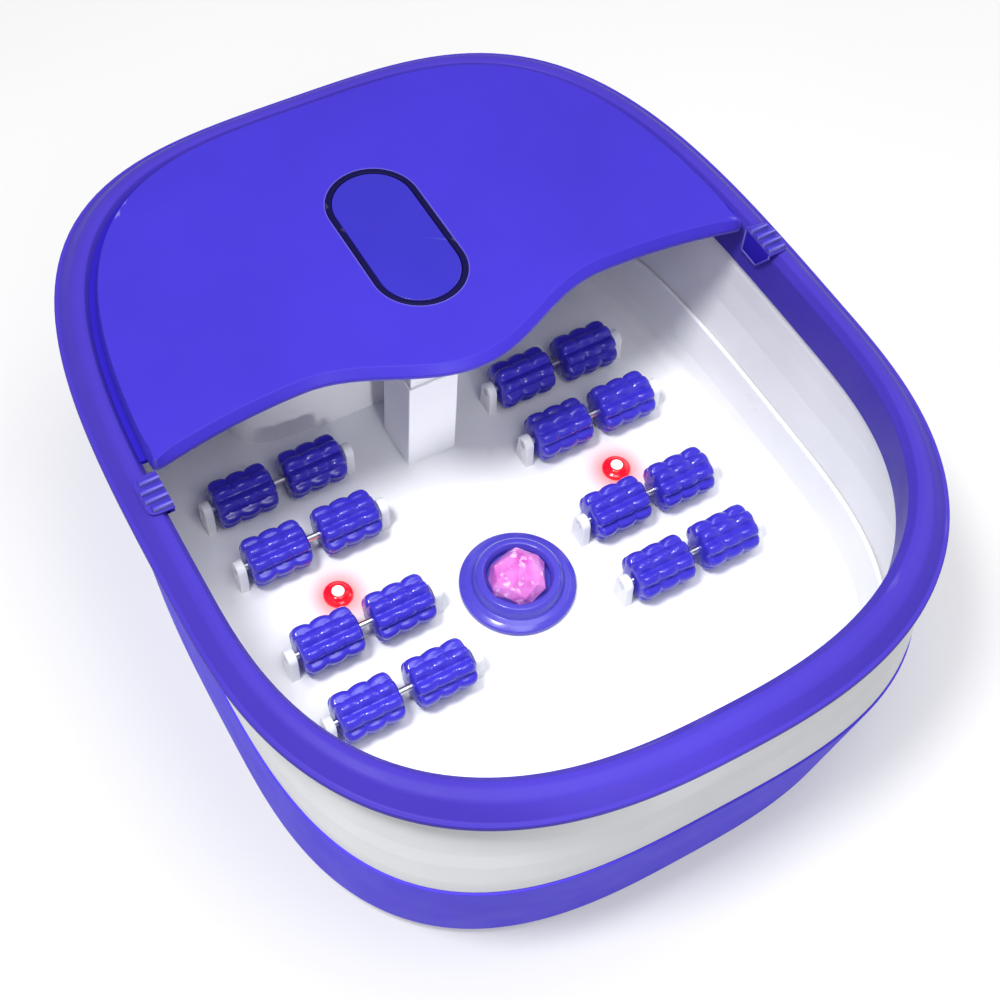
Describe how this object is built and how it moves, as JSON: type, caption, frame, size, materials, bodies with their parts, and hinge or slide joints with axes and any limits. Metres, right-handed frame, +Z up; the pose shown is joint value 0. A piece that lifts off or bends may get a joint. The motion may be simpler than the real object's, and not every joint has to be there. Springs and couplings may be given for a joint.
{
  "type": "folding pedicure foot bath",
  "caption": "Folding pedicure foot bath: rigid base with massage rollers, soft white wall, violet rim, and a hinged half lid with a control panel.",
  "frame": {"origin": "on the floor, under the centre of the rim's outline", "axes": "+Z up, -Y towards the user (the open front), +X to the user's right"},
  "size_m": [0.3752, 0.4514, 0.17],
  "materials": {
    "purple_shell": "satin blue-violet moulded plastic",
    "white_plastic": "satin white moulded plastic",
    "soft_white": "matte white soft wall",
    "roller_purple": "glossy violet plastic",
    "panel_film": "glossy blue film",
    "navy_seal": "dark navy seal",
    "pink_stone": "polished pink, faceted",
    "red_light": "clear red lens, lit",
    "rubber_feet": "matte dark rubber",
    "circuit_board": "green laminate",
    "black_plastic": "black plastic",
    "steel": "satin steel"
  },
  "bodies": {
    "base": {"base_band": "purple_shell", "bottom_plate": "white_plastic", "tub_tray": "white_plastic", "soft_wall": "soft_white", "power_inlet": "black_plastic", "heater": "steel", "air_pump": "black_plastic", "driver_board": "circuit_board", "stone_cup": "roller_purple", "column_sleeve": "white_plastic", "foot_1": "rubber_feet", "foot_2": "rubber_feet", "foot_3": "rubber_feet", "foot_4": "rubber_feet", "base_screw_1": "steel", "base_screw_2": "steel", "base_screw_3": "steel", "base_screw_4": "steel", "led_lens_left": "red_light", "led_lens_right": "red_light", "led_board_left": "circuit_board", "led_board_right": "circuit_board"},
    "upper_rim": {"rim": "purple_shell", "hinge_pin_left": "steel", "hinge_pin_right": "steel"},
    "column_upper": {"column_inner": "white_plastic"},
    "lid_assembly": {"lid": "purple_shell", "panel_seal": "navy_seal", "control_panel": "panel_film", "panel_housing": "purple_shell", "panel_board": "circuit_board"},
    "latch_left_body": {"latch_left": "purple_shell"},
    "latch_right_body": {"latch_right": "purple_shell"},
    "stone": {"massage_stone": "pink_stone"},
    "roller_set_left_1": {"axle_left_1": "steel", "roller_left_1_inner": "roller_purple", "roller_left_1_outer": "roller_purple"},
    "roller_set_left_2": {"axle_left_2": "steel", "roller_left_2_inner": "roller_purple", "roller_left_2_outer": "roller_purple"},
    "roller_set_left_3": {"axle_left_3": "steel", "roller_left_3_inner": "roller_purple", "roller_left_3_outer": "roller_purple"},
    "roller_set_left_4": {"axle_left_4": "steel", "roller_left_4_inner": "roller_purple", "roller_left_4_outer": "roller_purple"},
    "roller_set_right_1": {"axle_right_1": "steel", "roller_right_1_inner": "roller_purple", "roller_right_1_outer": "roller_purple"},
    "roller_set_right_2": {"axle_right_2": "steel", "roller_right_2_inner": "roller_purple", "roller_right_2_outer": "roller_purple"},
    "roller_set_right_3": {"axle_right_3": "steel", "roller_right_3_inner": "roller_purple", "roller_right_3_outer": "roller_purple"},
    "roller_set_right_4": {"axle_right_4": "steel", "roller_right_4_inner": "roller_purple", "roller_right_4_outer": "roller_purple"}
  },
  "joints": [
    {"name": "collapse", "type": "slide", "parent": "base", "child": "upper_rim", "axis": [0, 0, 1], "range_m": [-0.062, 0], "deforming": ["soft_wall"]},
    {"name": "column_rise", "type": "slide", "parent": "base", "child": "column_upper", "axis": [0, 0, 1], "range_m": [-0.062, 0]},
    {"name": "lid_hinge", "type": "hinge", "parent": "upper_rim", "child": "lid_assembly", "pos_m": [0, 0.2, 0.1654], "axis": [-1, 0, 0], "range_deg": [0, 100]},
    {"name": "latch_left_slide", "type": "slide", "parent": "upper_rim", "child": "latch_left_body", "axis": [0, -1, 0], "range_m": [0, 0.008]},
    {"name": "latch_right_slide", "type": "slide", "parent": "upper_rim", "child": "latch_right_body", "axis": [0, -1, 0], "range_m": [0, 0.008]},
    {"name": "stone_lift", "type": "slide", "parent": "base", "child": "stone", "axis": [0, 0, 1], "range_m": [0, 0.12]},
    {"name": "roller_left_1_spin", "type": "hinge", "parent": "base", "child": "roller_set_left_1", "pos_m": [-0.0885, 0.07, 0.043], "axis": [1, 0, 0], "continuous": true},
    {"name": "roller_left_2_spin", "type": "hinge", "parent": "base", "child": "roller_set_left_2", "pos_m": [-0.0885, 0.028, 0.043], "axis": [1, 0, 0], "continuous": true},
    {"name": "roller_left_3_spin", "type": "hinge", "parent": "base", "child": "roller_set_left_3", "pos_m": [-0.0885, -0.033, 0.043], "axis": [1, 0, 0], "continuous": true},
    {"name": "roller_left_4_spin", "type": "hinge", "parent": "base", "child": "roller_set_left_4", "pos_m": [-0.0885, -0.077, 0.043], "axis": [1, 0, 0], "continuous": true},
    {"name": "roller_right_1_spin", "type": "hinge", "parent": "base", "child": "roller_set_right_1", "pos_m": [0.0885, 0.07, 0.043], "axis": [1, 0, 0], "continuous": true},
    {"name": "roller_right_2_spin", "type": "hinge", "parent": "base", "child": "roller_set_right_2", "pos_m": [0.0885, 0.028, 0.043], "axis": [1, 0, 0], "continuous": true},
    {"name": "roller_right_3_spin", "type": "hinge", "parent": "base", "child": "roller_set_right_3", "pos_m": [0.0885, -0.033, 0.043], "axis": [1, 0, 0], "continuous": true},
    {"name": "roller_right_4_spin", "type": "hinge", "parent": "base", "child": "roller_set_right_4", "pos_m": [0.0885, -0.077, 0.043], "axis": [1, 0, 0], "continuous": true}
  ],
  "couplings": [
    {"joint": "column_rise", "follows": "collapse", "ratio": 1}
  ]
}
